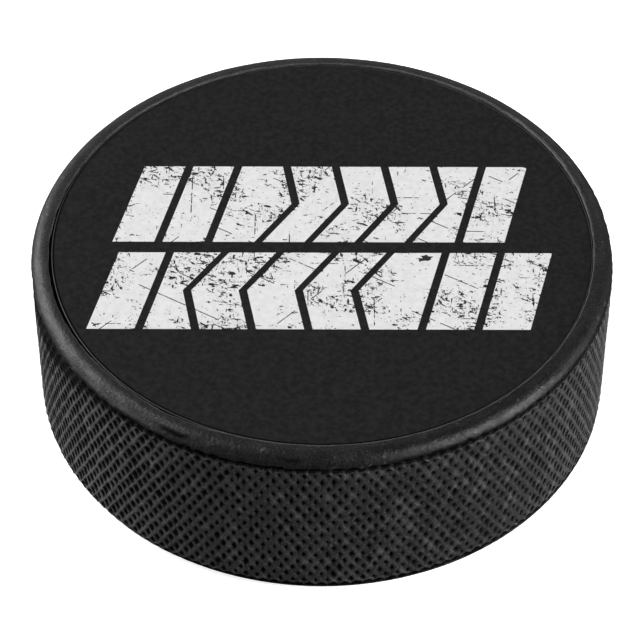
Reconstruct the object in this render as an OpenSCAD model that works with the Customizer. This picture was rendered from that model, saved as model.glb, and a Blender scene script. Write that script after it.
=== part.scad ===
// Ice hockey puck of regulation size. The puck is one rubber moulding with a rounded
// bead at each edge, a gripped band between the beads and a shallow recess in each
// face. A thin printed disc is bonded into the top recess.
// Millimetres, +Z up, origin at the centre of the underside.

/* [Puck] */
// Diameter over the gripped band
puck_d = 76.2; // [72:0.1:80]
// Thickness from one face to the other
puck_h = 25.4; // [23:0.1:28]
// Radius of the rounded bead at each edge
bead_r = 2.1; // [1.6:0.1:2.6]
// Width of the groove between a bead and the gripped band
groove_w = 0.5; // [0.3:0.1:0.8]

/* [Recess] */
// Width of the flat land between a bead and its recess
land_w = 0.6; // [0.4:0.1:1.2]
// Depth of the recess in each face
recess_depth = 0.6; // [0.5:0.05:0.9]

/* [Printed disc] */
// Thickness of the adhesive film under the disc
adhesive_t = 0.1; // [0.05:0.05:0.1]
// How far the adhesive film stops short of the disc's edge
adhesive_inset = 0.4; // [0.2:0.1:2]
// Thickness of the disc
disc_t = 0.3; // [0.2:0.05:0.35]
// Gap between the disc's edge and the recess wall
disc_gap = 0.1; // [0.05:0.05:0.5]

/* [Print] */
// Thickness of the ink
ink_t = 0.03; // [0.02:0.01:0.05]
// Width of the upper row of marks
upper_row_w = 54.8; // [40:0.2:58]
// Height of the upper row of marks
upper_row_h = 14.4; // [8:0.2:15]
// Width of the lower row of marks
lower_row_w = 59.8; // [40:0.2:60]
// Height of the lower row of marks
lower_row_h = 13.8; // [8:0.2:15]
// Gap between the two rows
row_gap = 2; // [1:0.2:3]
// Distance of that gap's middle from the disc's centre line
row_gap_y = -0.8; // [-1:0.2:1]
// Gap between one mark and the next
mark_gap = 1.1; // [0.6:0.1:1.5]
// How far the points of the arrow-shaped marks stand out
mark_point = 3; // [1:0.2:4]
// Angle that the marks lean to the right
mark_lean = 14; // [0:1:18]

/* [Hidden] */
$fn = 256;

// The sides of the marks in each row, from left to right: 0 is straight, 1 is drawn
// out into a point to the right, and -1 into a point to the left
UPPER_SIDES = [0, 0, 0, 1, 1, 1, 1, 0, 0];
LOWER_SIDES = [0, 0, -1, -1, -1, -1, 0, 0, 0];

puck_r = puck_d / 2;
groove_r = groove_w / 2;
recess_r = puck_r - bead_r - land_w;
disc_r = recess_r - disc_gap;
adhesive_z = puck_h - recess_depth;
disc_z = adhesive_z + adhesive_t;
ink_z = disc_z + disc_t;
lean = tan(mark_lean);
upper_row_y = row_gap_y + row_gap / 2;
lower_row_y = row_gap_y - row_gap / 2 - lower_row_h;

RUBBER = [0.10, 0.10, 0.11];
FILM = [0.80, 0.78, 0.70];
DISC = [0.15, 0.15, 0.16];
INK = [0.94, 0.94, 0.94];

// Places a child on both edges of the puck, at a height above each face
module at_both_edges(r, from_face) {
    translate([r, from_face])
        children();
    translate([r, puck_h - from_face])
        children();
}

// Half of the puck's cross-section: x is the radius, y is the height
module body_profile() {
    difference() {
        union() {
            square([puck_r - bead_r, puck_h]);
            translate([0, bead_r])
                square([puck_r, puck_h - 2 * bead_r]);
            at_both_edges(puck_r - bead_r, bead_r)
                circle(r = bead_r);
        }
        square([recess_r, recess_depth]);
        translate([0, puck_h - recess_depth])
            square([recess_r, recess_depth]);
        at_both_edges(puck_r, bead_r + groove_r)
            circle(r = groove_r);
    }
}

// The outline of one leaning mark of width w and height h, with its base on y = 0.
// Each side may be drawn out into a point at half height.
module mark(w, h, left_side, right_side) {
    mid_x = h * lean / 2;
    polygon([
        [0, 0],
        [w, 0],
        [w + mid_x + right_side * mark_point, h / 2],
        [w + h * lean, h],
        [h * lean, h],
        [mid_x + left_side * mark_point, h / 2]
    ]);
}

// A row of marks, centred on x = 0, with its base at y on top of the disc
module mark_row(sides, row_w, row_h, y) {
    count = len(sides) - 1;
    mark_w = (row_w - row_h * lean - (count - 1) * mark_gap) / count;
    for (i = [0:count - 1])
        translate([i * (mark_w + mark_gap) - row_w / 2, y, ink_z])
            linear_extrude(ink_t)
                mark(mark_w, row_h, sides[i], sides[i + 1]);
}

module puck_body() {
    color(RUBBER)
        rotate_extrude()
            body_profile();
}

module disc_adhesive() {
    color(FILM)
        translate([0, 0, adhesive_z])
            cylinder(r = disc_r - adhesive_inset, h = adhesive_t);
}

module face_disc() {
    color(DISC)
        translate([0, 0, disc_z])
            cylinder(r = disc_r, h = disc_t);
}

module print_upper_row() {
    color(INK)
        mark_row(UPPER_SIDES, upper_row_w, upper_row_h, upper_row_y);
}

module print_lower_row() {
    color(INK)
        mark_row(LOWER_SIDES, lower_row_w, lower_row_h, lower_row_y);
}

puck_body();
disc_adhesive();
face_disc();
print_upper_row();
print_lower_row();
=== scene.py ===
import math

import bpy
import numpy as np
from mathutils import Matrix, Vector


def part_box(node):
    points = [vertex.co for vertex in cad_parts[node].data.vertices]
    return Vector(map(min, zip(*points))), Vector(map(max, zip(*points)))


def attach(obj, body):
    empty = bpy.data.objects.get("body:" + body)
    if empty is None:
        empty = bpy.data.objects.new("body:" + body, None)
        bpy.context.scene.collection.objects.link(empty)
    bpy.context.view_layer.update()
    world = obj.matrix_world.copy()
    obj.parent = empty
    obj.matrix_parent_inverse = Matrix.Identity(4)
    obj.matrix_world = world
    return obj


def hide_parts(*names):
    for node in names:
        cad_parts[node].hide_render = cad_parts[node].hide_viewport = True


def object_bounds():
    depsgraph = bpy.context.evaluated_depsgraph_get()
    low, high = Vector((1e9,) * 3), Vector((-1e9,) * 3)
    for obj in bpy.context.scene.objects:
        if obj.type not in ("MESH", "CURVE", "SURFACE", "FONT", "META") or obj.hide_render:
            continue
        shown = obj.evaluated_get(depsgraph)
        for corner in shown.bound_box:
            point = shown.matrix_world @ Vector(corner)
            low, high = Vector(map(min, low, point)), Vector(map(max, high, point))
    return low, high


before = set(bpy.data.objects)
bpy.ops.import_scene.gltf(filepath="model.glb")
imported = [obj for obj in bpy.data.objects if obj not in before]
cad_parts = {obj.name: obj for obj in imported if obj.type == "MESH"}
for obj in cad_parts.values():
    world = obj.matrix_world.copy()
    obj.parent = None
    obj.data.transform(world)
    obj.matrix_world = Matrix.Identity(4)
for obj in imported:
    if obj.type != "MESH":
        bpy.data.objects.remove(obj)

# The looks of a hockey puck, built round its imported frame. Blender works in metres;
# lengths in this script are in millimetres until a mesh or a light is made.
MM = 0.001
TURN = 2 * math.pi
cad_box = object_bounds()
rng = np.random.default_rng(7)


# ---------------------------------------------------------------- sizes from the frame

def cad_points(node):
    """Every vertex of a CAD node, in millimetres."""
    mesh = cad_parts[node].data
    flat = np.empty(len(mesh.vertices) * 3, np.float32)
    mesh.vertices.foreach_get("co", flat)
    return flat.reshape(-1, 3).astype(float) / MM


body_points = cad_points("puck_body")
radii = np.hypot(body_points[:, 0], body_points[:, 1])
PUCK_R = min(abs(corner[axis]) for corner in cad_box for axis in (0, 1)) / MM
PUCK_H = body_points[:, 2].max()
MID_Z = PUCK_H / 2
on_crown = body_points[:, 2] > PUCK_H - 0.001
RECESS_R = radii[on_crown].min()
CROWN_R = radii[on_crown].max()
BEAD_R = PUCK_R - CROWN_R
RECESS_DEPTH = PUCK_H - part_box("disc_adhesive")[0].z / MM
STRAIGHT = MID_Z - BEAD_R  # half the height of the band's straight side
CROWN_S = STRAIGHT + BEAD_R * math.pi / 2  # where the skin reaches the crown

disc_low, disc_high = (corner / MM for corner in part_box("face_disc"))
DISC_R = disc_high.x


# ---------------------------------------------------------------- the grip's layout

COLUMNS = 160  # pits round the band in one row
HALVES = 2 * COLUMNS  # neighbouring rows are half a column apart
ROWS = 18  # the number of the uppermost row of pits. It and row 0 are cut open by the grooves
ROW_PITCH = 1.26
LOWEST_ROW = -11.66  # where row 0 would lie above mid-height if it weren't squeezed
FOOT_RAISE = 0.71  # how much row 0 is squeezed upwards by the lower groove
BAND_TILT = 0.45  # the grip's mould ring sat a little out of level, up towards +X
PIT_DEPTH = 0.52
SADDLE_SINK = 0.09  # how far a ridge dips between two crossings
NOTCH_SIZE = 1.45  # how much bigger the pits are that the upper groove cuts open
CELL_ROOM = 0.91  # the most of its cell that a pit's outermost ring takes up
RING_ROOM = 0.85  # and the most of that ring that the next one takes up, and so on
SIDE_PITS_WIDER = 0.4  # how much wider the pits are at the sides, where the grip has painted sheen and shade
FOOT_WIDER = 0.25  # and at its foot
FOOT_ROWS = 6  # how many rows that takes to die away
WIDEST_PIT = 1.6

# Painted shade is written as a depth, because the rubber's material darkens what is sunk: the darkening of
# pits, grooves and recesses is painted shade.
RUN_OUT_ROWS = 3.0  # how many rows the ridges take to die away at the left
RUN_OUT_SINK = 0.22  # how far down they go there
# painted shade on the top rows, where the ridges die away at the left
RUN_OUT_SHADE = 0.26
TIP_ROWS = 0.7  # the part of a row next to either groove
TIP_SINK = 0.08  # how far the ridges bend down in it, at the upper groove only
TIP_SHADE = 0.16  # painted shade at the very tips of the ridges, by both grooves
WORN_RIDGE = 0.45  # how much wear a scuffed spot on a ridge has
CROSSING_GLINT = 0.85  # the most glint painted where two ridges cross

GROOVE_HEIGHT = 10.95  # where the middle of the upper groove lies above mid-height
GROOVE_TILT = 0.38  # how much higher it is at +X, and lower at -X
GROOVE_WARP = 0.15  # how much higher it is at both +X and -X, and lower in front and behind
GROOVE_WANDER = 0.03  # the size of each of two waves in it
GROOVE_HALF = 0.30  # from the grip's edge to the middle of its groove
GROOVE_DEPTH = 0.52
GROOVE_WIDEN = 0.12  # how much wider a groove is in places
RAGGED = 0.085  # how far the edge of the bead wanders into and out of the groove
RAGGED_MORE = 0.04  # and how much more where the upper groove runs out
BEAD_RINGS = 9
LAND_SINK = 0.03  # the land lies this far below the highest points of its lip
LAND_W = 0.15  # from the lip's rounding to the ring of points on the land
LAND_EDGE = 0.03  # that ring is at least this far inside the crown of the bead
LIP_EDGE = 0.08  # and the lip's rounding ends at least this far inside it
LIP_HANG = 0.06  # how far the top face's lip hangs over its recess, where it lies close
SHARP_LIP = 0.13  # about the radius of the lip where it is sharp
LIP_TURNS = 4  # faces across its rounding
SHARP_LIP_PALE = 1000.0  # wear and painted highlight at the inner edge where it is sharper still: the faces round it are fully pale
WALL_RINGS = ((0.0, 0.30), (0.02, 0.08), (0.12, 0.0))  # inset from the lip, height above the floor
# painted shade on the recess's wall
WALL_SHADE = 0.4
FLOOR_RINGS = (34.0, 28.0, 18.0, 8.0)  # radii of the rings on a recess's floor, each with half the points

# The rings of a groove. Each has its distance past the grip's edge, its share of the bead's
# raggedness, its share of the groove's depth and its painted shade.
GROOVE_RINGS = ((0.05, 0.2, 0.9, 0.4), (0.14, 0.3, 1.0, 0.4), (0.54, 1.0, 0.95, 0.4), (0.66, 1.0, 0.14, 0.2))
BEAD_START = 0.76  # from the grip's edge to the first ring of the bead

# Where round the puck something is stronger: the centre and width in degrees, and how much.
# 270 is the front, 180 the left, 90 the back and 0 the right.
SIDE_SHEEN_AND_SHADE = ((192, 28, 1.3), (225, 20, 0.3), (345, 25, 0.6))  # painted sheen on the grip's ridges and painted shade in its pits, at both sides
RUN_OUT = ((200, 14, 1.0),)  # the upper groove runs out, and the ridges die into the bead
NUBBED = ((330, 40, 0.35),)  # nubs of rubber in the notches of the upper row
GROOVE_SLIM = ((335, 35, -0.5),)  # the upper groove is narrower
BEAD_LOW_SHADE = ((222, 26, 0.22),)  # painted shade low on the upper bead
LAND_SHADE = ((315, 38, 0.2),)  # painted shade on the top face's land
LIP_OFF = ((196, 24, 0.42), (238, 10, 0.28), (38, 30, 0.14))  # the top lip stands off the disc
LIP_SOFT = ((38, 28, 0.28), (105, 45, 0.10))  # the lip is rounder
LIP_FAINTER = ((192, 25, -0.75), (12, 18, -0.4))  # the lip's wear and painted highlight are fainter
LIP_BRIGHT = ((270, 60, 0.72),)  # the lip's wear and painted highlight are paler

# The rings of points in each diamond cell, from the edge of its ridges to the floor of its pit.
# The corners of a ring stand at `corner` times the cell's half-width and half-height, its sides
# are pushed out to `side`, and each point is off by about `wobble`.
PIT_RINGS = {
    "ridge": {"corner": 0.79, "side": 0.76, "sink": 0.13, "wobble": 0.02},
    "mouth": {"corner": 0.36, "side": 0.39, "sink": 0.21, "wobble": 0.04},
    "floor": {"corner": 0.22, "side": 0.22, "sink": PIT_DEPTH, "wobble": 0.04},
}


def wave_noise(angle, cycles, count, source):
    """Smooth noise round the puck, about -1 to 1: `count` waves of up to `cycles` per turn."""
    total = np.zeros_like(angle)
    for _ in range(count):
        turns = source.integers(max(1, cycles // 3), cycles + 1)
        total += np.cos(turns * angle + source.uniform(0, TURN))
    return total / math.sqrt(count)


def bump_at(angle, centre, width):
    """A smooth bump of height 1 at `centre`, falling off over `width`, both in degrees."""
    away = np.degrees(np.angle(np.exp(1j * (angle - math.radians(centre)))))
    return np.exp(-(away / width) ** 2)


def bumps(angle, places, base=0.0):
    """`base` plus one bump for each of the places: its centre, its width and its height."""
    total = base
    for centre, width, height in places:
        total = total + height * bump_at(angle, centre, width)
    return total


GROOVE_PHASES = np.random.default_rng(21).uniform(0, TURN, 2)


def groove_floor(angle):
    """How high up the skin the upper groove runs: higher at +X, where its mould ring sat up."""
    slow = GROOVE_WANDER * np.cos(23 * angle + GROOVE_PHASES[0])
    quick = GROOVE_WANDER * np.cos(61 * angle + GROOVE_PHASES[1])
    return GROOVE_HEIGHT + GROOVE_TILT * np.cos(angle) + GROOVE_WARP * np.cos(2 * angle) + (slow + quick)


def grip_height(row, angle):
    """The skin height of a row of the grip. Its first and last steps are squeezed by the grooves."""
    tilt = BAND_TILT * np.cos(angle)
    even = LOWEST_ROW + np.minimum(row, ROWS - 1) * ROW_PITCH + tilt
    raised = even + FOOT_RAISE * np.clip(1 - row, 0, 1)
    last_even = LOWEST_ROW + (ROWS - 1) * ROW_PITCH + tilt
    past = np.clip(row - (ROWS - 1), 0, 1)
    return raised + past * (groove_floor(angle) - GROOVE_HALF - last_even)


# ---------------------------------------------------------------- mesh building

class Skin:
    """The points and faces of one mesh, in millimetres. Each point has three values for its
    material: how deep it is sunk plus its painted shade, its zone (1 on the body's grip or the disc's
    rim), and its wear with painted sheen and glints. The rubber's grain still breaks up a value of 1 of the
    last, but not one of 3 or more."""

    def __init__(self):
        self.points = []
        self.values = {"sink": [], "zone": [], "worn": []}
        self.faces = []
        self.creases = []
        self.count = 0

    def add(self, points, sink=0.0, zone=0.0, worn=0.0):
        """Adds an array of points and returns their numbers, in the same shape."""
        points = np.asarray(points, float)
        shape = points.shape[:-1]
        size = int(np.prod(shape))
        self.points.append(points.reshape(-1, 3))
        for key, value in (("sink", sink), ("zone", zone), ("worn", worn)):
            self.values[key].append(np.broadcast_to(value, shape).reshape(-1))
        numbers = np.arange(self.count, self.count + size).reshape(shape)
        self.count += size
        return numbers

    def face(self, *corners):
        """Adds one face for each set of corner numbers, given as arrays of one shape."""
        stacked = np.stack([np.ravel(c) for c in corners], -1)
        self.faces.extend(stacked.tolist())

    def bridge(self, low, high, flip=False):
        """Joins two rings of equally many points with quads. Counter-clockwise seen from outside."""
        ring = (low, np.roll(low, -1), np.roll(high, -1), high)
        self.face(*(ring[::-1] if flip else ring))

    def narrow(self, wide, slim, flip=False):
        """Joins a ring to one of half as many points, which stand by its even points."""
        odd = wide[1::2]
        after = np.roll(wide, -1)[1::2]
        slim_next = np.roll(slim, -1)
        for trio in ((wide[::2], odd, slim), (odd, slim_next, slim), (odd, after, slim_next)):
            self.face(*(trio[::-1] if flip else trio))

    def close(self, ring, point, flip=False):
        """Closes a ring with a fan of triangles round a middle point."""
        middle = np.full(len(ring), int(self.add(np.array([point]))[0]))
        trio = (ring, np.roll(ring, -1), middle)
        self.face(*(trio[::-1] if flip else trio))

    def crease(self, mesh):
        """Makes the edges sharp that run along the lines of points in self.creases."""
        ends = np.empty(len(mesh.edges) * 2, np.int32)
        mesh.edges.foreach_get("vertices", ends)
        on_crease = np.zeros(self.count, bool)
        for line in self.creases:
            on_crease[line] = True
        sharp = on_crease[ends.reshape(-1, 2)].all(1)
        layer = mesh.attributes.new("sharp_edge", "BOOLEAN", "EDGE")
        layer.data.foreach_set("value", sharp)

    def build(self, name, material):
        """Makes the Blender object, smooth shaded, with its values on every vertex."""
        mesh = bpy.data.meshes.new(name)
        points = np.concatenate(self.points) * MM
        mesh.from_pydata(points.tolist(), [], self.faces)
        for key, parts in self.values.items():
            layer = mesh.attributes.new(key, "FLOAT", "POINT")
            layer.data.foreach_set("value", np.concatenate(parts).astype(np.float32))
        mesh.shade_smooth()
        self.crease(mesh)
        mesh.materials.append(material)
        piece = bpy.data.objects.new(name, mesh)
        bpy.context.scene.collection.objects.link(piece)
        return piece


def on_skin(angle, height, sink):
    """Points on the puck's side: `height` is measured along the skin from mid-height."""
    up = np.sign(height)
    bend = np.clip((np.abs(height) - STRAIGHT) / BEAD_R, 0, math.pi / 2)
    straight = np.minimum(np.abs(height), STRAIGHT)
    radius = CROWN_R + (BEAD_R - sink) * np.cos(bend)
    z = MID_Z + up * (straight + (BEAD_R - sink) * np.sin(bend))
    return lathe(angle, radius, z)


def lathe(angle, radius, z):
    """Points at a radius and a height z, broadcast together."""
    angle, radius, z = np.broadcast_arrays(angle, radius, z)
    return np.stack([radius * np.cos(angle), radius * np.sin(angle), z], -1)


# ---------------------------------------------------------------- the rubber body

# Directions from a cell's centre to the eight points of a ring, counter-clockwise from
# the right-hand corner: corners are one half-column or one row away, sides are between.
RING_J = np.array([1, 0.5, 0, -0.5, -1, -0.5, 0, 0.5])
RING_M = np.array([0, 0.5, 1, 0.5, 0, -0.5, -1, -0.5])
IS_CORNER = np.array([True, False] * 4)


def grip_point(skin, j, m, sink, worn=0.0):
    """Adds grip points at half-column j and row m. Where the groove runs out, the ridges of
    the top rows are sunk, and their pits are less deep."""
    angle = j / HALVES * TURN
    near_top = np.clip((m - (ROWS - RUN_OUT_ROWS)) / RUN_OUT_ROWS, 0, 1)
    died = bumps(angle, RUN_OUT)
    tip = np.clip((m - (ROWS - TIP_ROWS)) / TIP_ROWS, 0, 1)
    foot = np.clip(1 - m / TIP_ROWS, 0, 1)
    sunk = sink * (1 - 0.3 * near_top * died) + RUN_OUT_SINK * near_top * died + TIP_SINK * tip
    # painted shade: where the ridges die away, in the pits at the sides, and at the ridges' tips by the
    # grooves
    darkening = RUN_OUT_SHADE * near_top ** 1.5 * died * rng.uniform(0.2, 1.8, np.shape(angle))
    darkening = darkening + sunk * bumps(angle, SIDE_SHEEN_AND_SHADE) + TIP_SHADE * (tip ** 6 + foot ** 4)
    return skin.add(on_skin(angle, grip_height(m, angle), sunk), sunk + darkening, 1.0, worn)


def pit_widening(j, m):
    """How much wider the pits of row m are at the sides, where the grip has painted sheen and shade, and
    near its foot.
    """
    wider = 1 + SIDE_PITS_WIDER * bumps(j / HALVES * TURN, SIDE_SHEEN_AND_SHADE)[:, None]
    return np.minimum(wider + FOOT_WIDER * max(0, 1 - m / FOOT_ROWS), WIDEST_PIT)


def cell_outlines(corners, sides, crossing_glints, j, m, shown):
    """The points round each cell of row m, which its neighbours share, and the glint painted on their
    crossings.
    """
    corner_j = np.round(j[:, None] + RING_J).astype(int) % HALVES
    side_j = np.floor(j[:, None] + RING_J).astype(int) % HALVES
    outer = np.empty((COLUMNS, 8), int)
    glints = np.zeros((COLUMNS, 8))
    for k in shown:
        row = math.floor(m + RING_M[k])
        if IS_CORNER[k]:
            outer[:, k] = corners[row][corner_j[:, k] // 2]
            glints[:, k] = crossing_glints[row][corner_j[:, k] // 2]
        else:
            outer[:, k] = sides[row][side_j[:, k]]
    return outer, glints


def pit_rings(skin, glints, j, m, shown):
    """The rings of points inside each cell of row m. Each pit has its own size, depth and place."""
    size = np.clip(rng.normal(1, 0.07, (COLUMNS, 1)), 0.8, 1.18) * (NOTCH_SIZE if m == ROWS else 1)
    depth = rng.normal(1, 0.15, (COLUMNS, 1))
    off_j = np.clip(rng.normal(0, 0.05, (COLUMNS, 1)), -0.12, 0.12)
    off_m = np.clip(rng.normal(0, 0.04, (COLUMNS, 1)), -0.1, 0.1) * (0 < m < ROWS)
    room = CELL_ROOM - np.abs(off_j) - np.abs(off_m)
    rings = {}
    for name, ring in PIT_RINGS.items():
        wider = 1 if name == "ridge" else pit_widening(j, m)
        scale = np.where(IS_CORNER, ring["corner"], ring["side"]) * size * wider
        reach = np.minimum(scale + rng.normal(0, ring["wobble"], (COLUMNS, 8)), room)
        room = RING_ROOM * reach
        sink = ring["sink"] * depth * rng.uniform(0.8, 1.2, (COLUMNS, 8))
        kept = [k for k in shown if name != "floor" or IS_CORNER[k]]
        at_j = (j[:, None] + (RING_J * reach + off_j))[:, kept]
        at_m = (m + (RING_M * reach + off_m))[:, kept]
        # on the ridge ring: painted sheen at the sides, and painted glints by the crossings
        worn = (bumps(at_j / HALVES * TURN, SIDE_SHEEN_AND_SHADE) + 0.9 * glints[:, kept]) * (name == "ridge")
        rings[name] = np.full((COLUMNS, 8), -1)
        rings[name][:, kept] = grip_point(skin, at_j, at_m, sink[:, kept], worn)
    return rings


def pit_faces(skin, outer, rings, steps):
    """The faces of each cell down to its floor: quads, and then triangles, as the floor's ring
    has corners only. `steps` are the pairs of neighbouring ring points."""
    ridge, mouth, floor = rings["ridge"], rings["mouth"], rings["floor"]
    for a, b in steps:
        skin.face(outer[:, a], outer[:, b], ridge[:, b], ridge[:, a])
        skin.face(ridge[:, a], ridge[:, b], mouth[:, b], mouth[:, a])
    for a, b in steps:
        if IS_CORNER[a]:
            far = (b + 1) % 8
            skin.face(floor[:, a], mouth[:, a], mouth[:, b])
            skin.face(floor[:, a], mouth[:, b], floor[:, far])
        else:
            skin.face(floor[:, b], mouth[:, a], mouth[:, b])


def make_cells(skin, corners, sides, crossing_glints, m):
    """The grip's cells whose pits are on row m, from the points of the crossings and the sides of
    its ridges, and the glint painted on each crossing. Returns the points along the cut of a row
    that a groove cuts in half, whose cells have five of their eight ring points."""
    shown = {0: [0, 1, 2, 3, 4], ROWS: [4, 5, 6, 7, 0]}.get(m, list(range(8)))
    cut = len(shown) < 8
    j = np.arange(COLUMNS) * 2 + m % 2
    outer, glints = cell_outlines(corners, sides, crossing_glints, j, m, shown)
    rings = pit_rings(skin, glints, j, m, shown)
    floor = rings["floor"]
    pit_faces(skin, outer, rings, list(zip(shown, shown[1:] + ([] if cut else shown[:1]))))
    if not cut:
        skin.face(floor[:, 0], floor[:, 2], floor[:, 4], floor[:, 6])
        return None

    centre = cut_centre(skin, j, m)
    first, middle, last = shown[0], shown[2], shown[4]
    skin.face(floor[:, first], floor[:, middle], centre)
    skin.face(centre, floor[:, middle], floor[:, last])
    line = [outer[:, first]] + [rings[name][:, first] for name in ("ridge", "mouth", "floor")]
    line += [centre] + [rings[name][:, last] for name in ("floor", "mouth", "ridge")]
    return np.stack(line, -1)


def cut_centre(skin, j, m):
    """The middle of each notch on a cut row. Some notches hold a nub of rubber, most of them
    at the right of the upper row."""
    nub = rng.uniform(size=COLUMNS) < bumps(j / HALVES * TURN, NUBBED, 0.04)
    sink = PIT_DEPTH - nub * rng.uniform(0.25, 0.42, COLUMNS)
    # a nub is paler with a painted glint
    return grip_point(skin, j.astype(float), float(m), sink, 0.3 * nub)


def make_grip(skin):
    """The band of raised ridges round the side. Returns its lowest and uppermost lines."""
    corners = []
    sides = []
    crossing_glints = []
    for m in range(ROWS + 1):
        inside = 0 < m < ROWS
        j = np.arange(COLUMNS) * 2.0 + (1 - m % 2)
        lift = rng.normal(0, 0.02, COLUMNS) * inside
        sink = np.abs(rng.normal(0, 0.04, COLUMNS))
        # a glint painted on each crossing, bright on a few
        crossing_glints.append(CROSSING_GLINT * rng.uniform(size=COLUMNS) ** 3)
        worn = crossing_glints[-1] + bumps(j / HALVES * TURN, SIDE_SHEEN_AND_SHADE)
        corners.append(grip_point(skin, j + rng.normal(0, 0.03, COLUMNS), m + lift, sink, worn))
        if m < ROWS:
            j = np.arange(HALVES) + 0.5
            sink = SADDLE_SINK + np.abs(rng.normal(0, 0.02, HALVES))
            # wear on a few scuffed sides, and painted sheen at the sides of the grip
            worn = WORN_RIDGE * (rng.uniform(size=HALVES) < 0.1) + bumps(j / HALVES * TURN, SIDE_SHEEN_AND_SHADE)
            sides.append(grip_point(skin, j, m + 0.5 + rng.normal(0, 0.03, HALVES), sink, worn))
    lines = [make_cells(skin, corners, sides, crossing_glints, m) for m in range(ROWS + 1)]
    # the lower line's cells run from right to left, so they are turned round
    return np.roll(lines[0][:, ::-1].reshape(-1), 1), lines[ROWS].reshape(-1)


def make_edge(skin, grip_line, up, source):
    """Everything from one edge of the grip to the middle of that face: the groove, the bead,
    the land, the recess's lip and wall, and its floor. `up` is 1 at the top and -1 below."""
    flip = up < 0
    line = np.concatenate(skin.points)[grip_line]
    angle = np.arctan2(line[:, 1], line[:, 0])[::2] % TURN
    if up > 0:
        died = bumps(angle, RUN_OUT)
        slim = bumps(angle, GROOVE_SLIM, 1)
        edge = groove_floor(angle) - GROOVE_HALF
    else:
        died = np.zeros_like(angle)
        slim = np.ones_like(angle)
        edge = -grip_height(0, angle)
    coarse = wave_noise(angle, 150, 6, source)
    fine = wave_noise(angle, 310, 9, source)
    ragged = (RAGGED + RAGGED_MORE * died) * (coarse + fine)
    wide = GROOVE_WIDEN * np.clip(wave_noise(angle, 26, 4, source), 0, 1.5)
    # a groove is shallower where rubber bridges it, and where it runs out
    bridged = np.clip(wave_noise(angle, 90, 5, source) - 0.7, 0, 1)
    depth = GROOVE_DEPTH * (1 - 0.5 * bridged) * (1 - 0.45 * died)
    rings = []
    # each ring of the groove carries painted shade
    for past, share, deep, darkening in GROOVE_RINGS:
        height = edge + slim * (past + share * (ragged + wide))
        rings.append(skin.add(on_skin(angle, up * height, depth * deep), darkening))
    skin.narrow(grip_line, rings[0], flip)
    skin.creases.append(grip_line)

    rings += make_bead(skin, angle, edge + slim * (BEAD_START + ragged + wide), up, source)
    rings += make_lip(skin, angle, up, source)
    for outer, inner in zip(rings, rings[1:]):
        skin.bridge(outer, inner, flip)
    close_floor(skin, rings[-1], angle, up)


def land_shade(angle, up):
    """Painted shade on the land of the top face."""
    return bumps(angle, LAND_SHADE) if up > 0 else np.zeros_like(angle)


def make_bead(skin, angle, start, up, source):
    """The rings of the bead, from skin height `start` up to its crown. Both beads have soft
    dents. The upper one has dark streaks, pale scuffs and painted shade, and the lower one has painted shade
    low down."""
    # painted shade low on the upper bead at the left
    low_shade = bumps(angle, BEAD_LOW_SHADE) if up > 0 else np.zeros_like(angle)
    dents = 0.010 * wave_noise(angle, 40, 5, source) + 0.012
    streak = np.clip(wave_noise(angle, 18, 4, source), 0, 1.2)
    rings = []
    for t in np.linspace(0, 1, BEAD_RINGS):
        height = start + t * (CROWN_S - start)
        sink = dents * math.sin(math.pi * t) + LAND_SINK * t * t
        # painted shade low on the lower bead; dark streaks on the upper one, with painted shade by the land
        # and low at the left
        darkening = 0.2 * (1 - t) if up < 0 else 0.2 * streak * math.exp(-((t - 0.4) / 0.2) ** 2)
        darkening = darkening + land_shade(angle, up) * t * t + low_shade * (1 - t) ** 2
        scuffed = source.uniform(size=len(angle)) < 0.03 * (1 - t) ** 2
        worn = 0.4 * scuffed * (up > 0)
        rings.append(skin.add(on_skin(angle, up * height, sink), darkening, worn=worn))
    return rings


def lip_radius(angle, up):
    """The recess's lip. That of the top face lies close round the disc, but stands off it
    at the left, where a gap shows."""
    if up < 0:
        return np.full_like(angle, RECESS_R)
    return RECESS_R - LIP_HANG + bumps(angle, LIP_OFF)


def lip_wear_and_highlight(times_sharp, share):
    """How much the wear and painted highlight show on the lip: `share` is 1 at the land and 0 at the
    recess's wall. The softer the lip, the more they keep to the land's side. A sharp lip is fully pale at
    the wall."""
    if share == 0:
        return SHARP_LIP_PALE * (times_sharp < 1)
    return share ** (times_sharp - 1) * (1 - np.clip(2 - times_sharp, 0, 1) * share ** 4)


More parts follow.
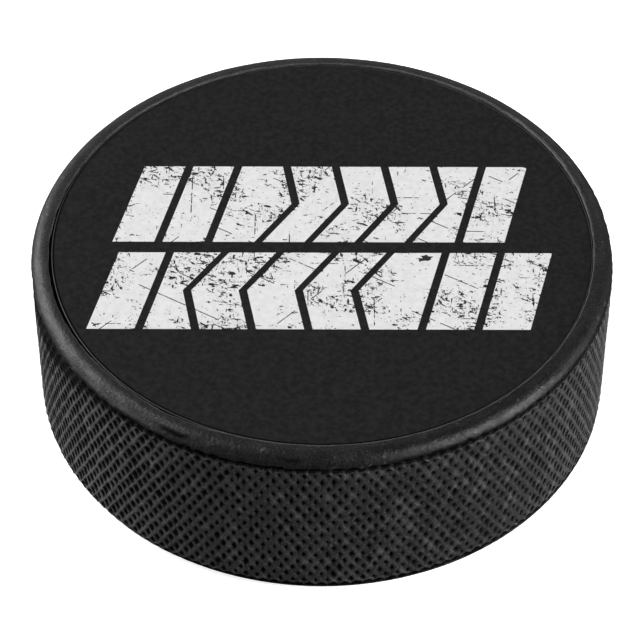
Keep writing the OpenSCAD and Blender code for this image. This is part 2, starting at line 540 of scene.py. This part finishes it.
def make_lip(skin, angle, up, source):
    """The rings of the land, the rounded lip and the recess's wall."""
    face_z = MID_Z + up * MID_Z
    lip_r = lip_radius(angle, up) + 0.03 * np.clip(wave_noise(angle, 110, 6, source), -1, 1.5)
    burr = LAND_SINK * np.clip(0.5 - 0.5 * wave_noise(angle, 70, 5, source), 0, 1)
    soft = bumps(angle, LIP_SOFT, SHARP_LIP) * (1 + 0.12 * wave_noise(angle, 60, 5, source))
    soft = np.minimum(soft, CROWN_R - LIP_EDGE - lip_r)
    # the lip's pale line is wear and painted highlight: fainter at the left and the right, paler in front
    worn = np.clip(0.85 + 0.2 * wave_noise(angle, 90, 5, source), 0.4, 1) * bumps(angle, LIP_FAINTER, 1)
    bright = bumps(angle, LIP_BRIGHT, 0.58)
    land_r = np.minimum(lip_r + soft + LAND_W, CROWN_R - LAND_EDGE)
    rings = [skin.add(lathe(angle, land_r, face_z - up * LAND_SINK), land_shade(angle, up))]
    for share in np.linspace(1, 0, LIP_TURNS + 1):
        turn = share * math.pi / 2
        out = soft * (1 - math.cos(turn))
        down = burr + soft * (1 - math.sin(turn))
        pale = bright * worn * lip_wear_and_highlight(soft / SHARP_LIP, share)
        rings.append(skin.add(lathe(angle, lip_r + out, face_z - up * down), worn=pale))
    floor_z = face_z - up * RECESS_DEPTH
    # the recess's wall carries painted shade
    for inset, lift in WALL_RINGS:
        rings.append(skin.add(lathe(angle, lip_r - inset, floor_z + up * lift), WALL_SHADE))
    return rings


def close_floor(skin, last, angle, up):
    """The recess's floor, inside its last ring."""
    flip = up < 0
    floor_z = MID_Z + up * (MID_Z - RECESS_DEPTH)
    for radius in FLOOR_RINGS:
        angle = angle[::2]
        slim = skin.add(lathe(angle, radius, floor_z))
        skin.narrow(last, slim, flip)
        last = slim
    skin.close(last, (0, 0, floor_z), flip)


def make_body():
    skin = Skin()
    low_line, high_line = make_grip(skin)
    make_edge(skin, high_line, 1, np.random.default_rng(3))
    make_edge(skin, low_line, -1, np.random.default_rng(4))
    return skin.build("rubber_body", rubber())


# ---------------------------------------------------------------- the printed disc

DISC_POINTS = 512  # round its edge
DISC_RINGS = (32.0, 24.0, 14.0, 6.0)  # radii of the rings on its faces, each with half the points


def make_disc():
    """The disc. Its cut edge stands a little proud, with a fine crease inside it whose painted shade fades
    out round the back, and partly at the right."""
    skin = Skin()
    angle = np.arange(DISC_POINTS) / DISC_POINTS * TURN
    low, high = disc_low.z, disc_high.z
    # painted shade in the crease, fading out round the back and at the right
    crease_shade = (1 - bump_at(angle, 80, 70)) * (1 - 0.6 * bump_at(angle, 325, 40))
    # distance in from the edge, height, zone and how much shade is painted there
    profile = (
        (0.03, low, 0, 0), (0.0, low + 0.03, 0, 0), (0.0, high - 0.07, 1, 0), (0.015, high - 0.02, 1, 0),
        (0.05, high + 0.01, 1, 0), (0.10, high + 0.01, 1, 0), (0.14, high - 0.01, 0, 1),
        (0.24, high - 0.02, 0, 1), (0.32, high - 0.015, 0, 0.8), (0.42, high, 0, 0),
    )
    rings = []
    for inset, z, zone, dark in profile:
        rings.append(skin.add(lathe(angle, DISC_R - inset, z), dark * crease_shade, zone))
    for below, above in zip(rings, rings[1:]):
        skin.bridge(below, above)
    for ring, z, flip in ((rings[-1], high, False), (rings[0], low, True)):
        around = angle
        last = ring
        for radius in DISC_RINGS:
            around = around[::2]
            slim = skin.add(lathe(around, radius, z))
            skin.narrow(last, slim, flip)
            last = slim
        skin.close(last, (0, 0, z), flip)
    return skin.build("printed_disc", printed_disc())


# ---------------------------------------------------------------- materials

SCRATCH_W = 0.14  # width of a scratch in the ink


class Shader:
    """One node material, built a node at a time."""

    def __init__(self, name):
        self.material = bpy.data.materials.new(name)
        self.material.use_nodes = True
        self.tree = self.material.node_tree
        self.tree.nodes.clear()
        output = self.tree.nodes.new("ShaderNodeOutputMaterial")
        self.bsdf = self.tree.nodes.new("ShaderNodeBsdfPrincipled")
        self.tree.links.new(self.bsdf.outputs["BSDF"], output.inputs["Surface"])
        place = self.tree.nodes.new("ShaderNodeTexCoord").outputs["Object"]
        self.place = self.scaled(place, 1 / MM)  # millimetres

    def node(self, kind, inputs, **settings):
        """Adds a node. An input is set to a value, or linked if it is a socket."""
        made = self.tree.nodes.new("ShaderNode" + kind)
        for key, value in settings.items():
            setattr(made, key, value)
        for key, value in inputs.items():
            self.put(made.inputs[key], value)
        return made

    def put(self, socket, value):
        if isinstance(value, bpy.types.NodeSocket):
            self.tree.links.new(value, socket)
        else:
            socket.default_value = value

    def set(self, **inputs):
        """Sets or links the surface's own inputs; underscores stand for spaces."""
        for key, value in inputs.items():
            self.put(self.bsdf.inputs[key.replace("_", " ")], value)

    def scaled(self, vector, scale):
        return self.node("VectorMath", {0: vector, "Scale": scale}, operation="SCALE").outputs[0]

    def stretched(self, angle, scale):
        """Places turned about Z by an angle in degrees, then scaled on each axis."""
        turned = self.node("Mapping", {"Vector": self.place, "Rotation": (0, 0, math.radians(angle))})
        return self.node("Mapping", {"Vector": turned.outputs[0], "Scale": scale}).outputs[0]

    def noise(self, per_mm, detail=2.0, rough=0.5, vector=None):
        inputs = {"Vector": vector or self.place, "Scale": per_mm, "Detail": detail, "Roughness": rough}
        return self.node("TexNoise", inputs).outputs["Fac"]

    def value(self, name):
        """One of the values that Skin gives each point."""
        return self.node("Attribute", {}, attribute_name=name).outputs["Fac"]

    def math(self, operation, first, second=0.0):
        return self.node("Math", {0: first, 1: second}, operation=operation).outputs[0]

    def ramp(self, value, start, end, low=0.0, high=1.0):
        """Maps value from start..end to low..high, smoothly and held at the ends."""
        inputs = {"Value": value, "From Min": start, "From Max": end, "To Min": low, "To Max": high}
        return self.node("MapRange", inputs, interpolation_type="SMOOTHSTEP").outputs[0]

    def mix(self, amount, first, second):
        """Mixes two colours, given as greys, triples or sockets."""
        made = self.node("Mix", {}, data_type="RGBA")
        self.put(made.inputs[0], amount)
        for socket, colour in ((made.inputs[6], first), (made.inputs[7], second)):
            self.put(socket, rgba(colour))
        return made.outputs[2]

    def bump(self, height, distance, normal=None):
        """A bump whose height of 1 stands `distance` millimetres proud."""
        inputs = {"Height": height, "Distance": distance * MM}
        if normal is not None:
            inputs["Normal"] = normal
        return self.node("Bump", inputs).outputs["Normal"]


def rgba(colour):
    if isinstance(colour, bpy.types.NodeSocket):
        return colour
    if isinstance(colour, (int, float)):
        colour = (colour, colour, colour)
    return (*colour, 1.0)


def specks(shader, per_mm, share, size):
    """1 inside small round specks: `share` of the cells hold one, `size` is in cell widths."""
    cells = shader.node("TexVoronoi", {"Vector": shader.place, "Scale": per_mm})
    picked = shader.node("SeparateColor", {"Color": cells.outputs["Color"]}).outputs[0]
    near = shader.ramp(cells.outputs["Distance"], size, size * 0.5)
    return shader.math("MULTIPLY", near, shader.ramp(picked, 1 - share, 1 - share + 0.02))


def rubber():
    """Satin black moulded rubber: fine grain, grey ridges with painted sheen and glints, dark pits with
    painted shade, and pale scuffs. Many values are ramps over `grip`, from what they are elsewhere to what
    they are on the grip."""
    s = Shader("rubber")
    sink = s.value("sink")
    grip = s.value("zone")
    grain = s.noise(3.6, 4, 0.65)
    fine = s.noise(6.0, 3, 0.7)
    streaks = s.noise(1.0, 4, 0.6, s.stretched(0, (0.35, 0.35, 1.3)))
    cloud = s.ramp(s.noise(0.25, 3), 0.35, 0.65)
    # what is sunk, or carries painted shade, turns dark and less glossy: painted shade
    deep = s.ramp(sink, 0.13, 0.31)

    tone = s.mix(grip, s.mix(cloud, 0.0045, 0.0065), s.mix(cloud, 0.015, 0.021))
    tone = s.mix(s.ramp(grain, 0.50, 0.75, 0, 0.35), tone, 0.06)
    grit = s.math("MULTIPLY", s.ramp(fine, 0.48, 0.60), s.ramp(grip, 0, 1, 0.10, 0.70))
    tone = s.mix(grit, tone, 0.095)
    # wear, painted sheen and painted glints make the rubber pale
    pale = s.math("MULTIPLY", s.value("worn"), s.ramp(grain, 0.35, 0.60, 0.35, 1.0))
    tone = s.mix(pale, tone, 0.20)
    # painted shade: near black in pits, grooves and recesses
    tone = s.mix(deep, tone, s.mix(grip, 0.002, 0.012))
    # pale dusty specks, and smaller ones on the grip that are painted glints
    large = specks(s, 0.9, 0.14, 0.16)
    dust_and_glints = s.math("MAXIMUM", large, s.math("MULTIPLY", specks(s, 1.7, 0.10, 0.2), grip))
    tone = s.mix(s.math("MULTIPLY", dust_and_glints, 0.4), tone, 0.16)

    gloss = s.math("MULTIPLY", s.ramp(deep, 0, 1, 1.0, 0.10), s.ramp(grip, 0, 1, 0.38, 0.40))
    for patches, range_low in ((fine, 0.72), (streaks, 0.80)):
        gloss = s.math("MULTIPLY", gloss, s.ramp(patches, 0.35, 0.65, range_low, 2 - range_low))
    lumps = s.math("MULTIPLY", s.noise(2.1, 4, 0.6), s.ramp(grip, 0, 1, 1.5, 1.6))
    grains = s.math("MULTIPLY", grain, s.ramp(grip, 0, 1, 0.85, 2.2))
    patchy = s.ramp(s.noise(0.8, 3), 0.3, 0.7, 0.34, 0.44)
    s.set(
        Base_Color=tone,
        Roughness=s.math("SUBTRACT", patchy, s.ramp(grip, 0, 1, 0, 0.08)),
        Specular_IOR_Level=gloss,
        Normal=s.bump(grains, 0.04, s.bump(lumps, 0.06)),
    )
    return s.material


def printed_disc():
    """Matte black printed film with a fine mottle, painted shade in its crease, and a bare, shinier edge."""
    s = Shader("disc_print")
    rim = s.value("zone")
    tone = s.mix(s.ramp(s.noise(1.3, 4, 0.6), 0.3, 0.7), 0.0072, 0.0158)
    tone = s.mix(s.math("MULTIPLY", specks(s, 0.6, 0.06, 0.10), 0.25), tone, 0.08)
    # painted shade in the crease inside the rim
    crease = s.value("sink")
    tone = s.mix(crease, tone, 0.002)
    s.set(
        Base_Color=s.mix(rim, tone, 0.045),
        Roughness=s.mix(rim, s.ramp(s.noise(1.5, 3), 0.3, 0.7, 0.70, 0.80), 0.42),
        Specular_IOR_Level=s.math("MULTIPLY", s.ramp(rim, 0, 1, 0.12, 0.5), s.ramp(crease, 0, 1, 1, 0)),
        Normal=s.bump(s.noise(8.0, 3, 0.6), 0.008),
    )
    return s.material


def nicks(s, angle, length, width, least):
    """1 in ragged nicks of about `length` by `width` millimetres that lie at an angle. They are
    fewer and smaller the higher `least` is."""
    stretched = s.stretched(angle, (1 / length, 1 / width, 1.0))
    return s.math("GREATER_THAN", s.noise(1.0, 3, 0.62, stretched), least)


def scratches(s, angle, spacing, share, broken):
    """1 along fine straight scratches at an angle. There is at most one in each strip of a
    width of `spacing`, and a `share` of their length shows, less where they are broken."""
    turned = s.node("SeparateXYZ", {0: s.stretched(angle, (1.0, 1.0, 1.0))}).outputs
    along, across = turned[0], s.math("DIVIDE", turned[1], spacing)
    number = s.math("FLOOR", across)
    chance = s.node("TexWhiteNoise", {"W": number}, noise_dimensions="1D").outputs["Value"]
    off = s.math("ABSOLUTE", s.math("SUBTRACT", s.math("FRACT", across), s.ramp(chance, 0, 1, 0.2, 0.8)))
    line = s.math("LESS_THAN", off, 0.5 * SCRATCH_W / spacing)
    stretch = s.node("CombineXYZ", {0: s.math("MULTIPLY", along, 0.13), 1: s.math("MULTIPLY", number, 3.7)})
    here = s.math("LESS_THAN", s.noise(1.0, 1, 0.5, stretch.outputs[0]), share)
    whole = s.math("GREATER_THAN", s.noise(1.0, 3, 0.7, s.stretched(angle, (1.2, 2.0, 1.0))), broken)
    return s.math("MULTIPLY", s.math("MULTIPLY", line, here), whole)


def ink(name, worn_from, worn_to):
    """White ink on black: nicked and scratched all over, and chipped away in patches."""
    s = Shader(name)
    patch = s.ramp(s.noise(0.12, 2, 0.5), worn_from, worn_to)
    marks = (
        nicks(s, 4, 1.3, 0.60, s.ramp(patch, 0, 1, 0.67, 0.60)),
        nicks(s, 38, 1.2, 0.45, s.ramp(patch, 0, 1, 0.69, 0.61)),
        nicks(s, 92, 1.1, 0.40, s.ramp(patch, 0, 1, 0.695, 0.615)),
        nicks(s, 0, 0.5, 0.40, s.ramp(patch, 0, 1, 0.69, 0.63)),
        nicks(s, 14, 3.0, 1.5, 0.70),
        scratches(s, 31, 2.6, 0.38, 0.40),
        scratches(s, -46, 3.4, 0.37, 0.40),
        scratches(s, 1, 2.1, 0.39, 0.50),
        scratches(s, 90, 2.4, 0.38, 0.50),
    )
    gone = marks[0]
    for mark in marks[1:]:
        gone = s.math("MAXIMUM", gone, mark)
    shade = s.mix(s.ramp(s.noise(1.2, 4), 0.3, 0.7), 0.735, 0.805)
    s.set(
        Base_Color=s.mix(gone, shade, 0.020),
        Roughness=0.72,
        Specular_IOR_Level=0.2,
        Normal=s.bump(s.math("SUBTRACT", 1.0, gone), 0.02),
    )
    return s.material


def film():
    """Clear adhesive film with faint bubbles."""
    s = Shader("adhesive")
    bubble = specks(s, 0.5, 0.3, 0.2)
    s.set(
        Base_Color=s.mix(bubble, (0.78, 0.76, 0.68), (0.90, 0.89, 0.84)),
        Roughness=s.ramp(s.noise(0.6, 3), 0.3, 0.7, 0.18, 0.32),
        Alpha=0.6,
        Normal=s.bump(bubble, 0.01),
    )
    return s.material


def paper():
    """Plain white paper, lit a little from behind so that it stays pale all over."""
    s = Shader("paper")
    s.set(
        Base_Color=s.mix(s.noise(0.02, 3), 0.86, 0.90),
        Roughness=0.9,
        Specular_IOR_Level=0.1,
        Emission_Color=(1, 1, 1, 1),
        Emission_Strength=0.8,
    )
    return s.material


# ---------------------------------------------------------------- stage, lights and camera

def make_sweep():
    """A round floor that curves up into a wall. Only the camera sees it, so that it lights
    nothing and isn't mirrored in the rubber."""
    skin = Skin()
    angle = np.arange(64) / 64 * TURN
    floor_r, curve_r, wall_top = 2000.0, 1000.0, 4000.0
    bend = np.linspace(0, math.pi / 2, 9)
    radii_out = np.append(floor_r + curve_r * np.sin(bend), floor_r + curve_r)
    heights = np.append(curve_r * (1 - np.cos(bend)), wall_top)
    rings = [skin.add(lathe(angle, r, z)) for r, z in zip(radii_out, heights)]
    for low, high in zip(rings, rings[1:]):
        skin.bridge(high, low)
    skin.close(rings[0], (0, 0, 0))
    skin.close(rings[-1], (0, 0, wall_top), flip=True)
    sweep = skin.build("sweep", paper())
    sweep.visible_diffuse = False
    sweep.visible_glossy = False


# Lengths from here on are in metres, angles in degrees and light in watts.
PUCK_MIDDLE = np.array([0, 0, MID_Z * MM])
LIGHT_DISTANCE = 0.7
CAMERA_ELEVATION = 45.805
CAMERA_DISTANCE = 0.38315
CAMERA_PITCH = 46.047
CAMERA_ROLL = 0.14
# Name, azimuth, elevation, width, height and power of each soft box
LIGHTS = (
    ("left_box", -113, 38, 0.22, 0.22, 1.75),
    ("left_top", -96, 54, 0.25, 0.25, 0.85),
    ("left_back", -132, 12, 0.20, 0.25, 1.05),
    ("left_low", -105, 12, 0.30, 0.25, 1.6),
    ("left_front", -70, 12, 0.30, 0.25, 1.1),
    ("right_box", 62, 33, 0.10, 0.10, 3.3),
    ("right_low", 70, 12, 0.30, 0.25, 1.1),
    ("right_front", 35, 12, 0.30, 0.25, 0.20),
    ("right_back", 105, 12, 0.30, 0.25, 0.3),
    ("back_wall", 180, 25, 1.20, 0.60, 1.2),
)


def make_light(name, azimuth, elevation, width, height, power):
    """A soft box that faces the puck's middle. Azimuth 0 is in front and 90 is at +X."""
    data = bpy.data.lights.new(name, "AREA")
    data.shape = "RECTANGLE"
    data.size = width
    data.size_y = height
    data.energy = power
    light = bpy.data.objects.new(name, data)
    light.visible_camera = False
    place_facing(light, azimuth, elevation, LIGHT_DISTANCE, elevation)
    bpy.context.scene.collection.objects.link(light)


def place_facing(thing, azimuth, elevation, distance, pitch, roll=0):
    """Puts thing at a direction and distance from the puck's middle, tipped down by pitch."""
    around = math.radians(azimuth)
    above = math.radians(elevation)
    back = np.array([
        math.sin(around) * math.cos(above), -math.cos(around) * math.cos(above), math.sin(above),
    ])
    thing.location = PUCK_MIDDLE + back * distance
    thing.rotation_euler = (math.pi / 2 - math.radians(pitch), 0, around)
    thing.rotation_euler.rotate_axis("Z", math.radians(roll))


def make_camera():
    """The puck fills the frame, seen from in front and 46 degrees above."""
    data = bpy.data.cameras.new("camera")
    data.sensor_width = 36  # this and the lens are in millimetres, as Blender has them
    data.lens = 160.14
    data.clip_start = 0.01
    camera = bpy.data.objects.new("camera", data)
    place_facing(camera, 0, CAMERA_ELEVATION, CAMERA_DISTANCE, CAMERA_PITCH, CAMERA_ROLL)
    bpy.context.scene.collection.objects.link(camera)
    bpy.context.scene.camera = camera


def make_world():
    """A dim room: light comes back up off the floor, and hardly any from above."""
    world = bpy.data.worlds.new("world")
    world.use_nodes = True
    tree = world.node_tree
    upward = tree.nodes.new("ShaderNodeSeparateXYZ")
    fade = tree.nodes.new("ShaderNodeMapRange")
    tree.links.new(tree.nodes.new("ShaderNodeTexCoord").outputs["Generated"], upward.inputs[0])
    tree.links.new(upward.outputs["Z"], fade.inputs["Value"])
    for key, value in {"From Min": -0.15, "From Max": 0.05, "To Min": 0.15, "To Max": 0.015}.items():
        fade.inputs[key].default_value = value
    background = tree.nodes["Background"]
    background.inputs["Color"].default_value = (1, 1, 1, 1)
    tree.links.new(fade.outputs[0], background.inputs["Strength"])
    bpy.context.scene.world = world


make_camera()
make_world()
make_sweep()
for light in LIGHTS:
    make_light(*light)
bpy.context.scene.view_settings.view_transform = "Standard"

body = make_body()
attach(body, "root")
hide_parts("puck_body")

disc = make_disc()
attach(disc, "root")
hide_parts("face_disc")

for node, look in (
    ("disc_adhesive", film()),
    ("print_upper_row", ink("ink_upper", 0.46, 0.58)),
    ("print_lower_row", ink("ink_lower", 0.44, 0.57)),
):
    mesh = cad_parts[node].data
    mesh.materials.clear()
    mesh.materials.append(look)
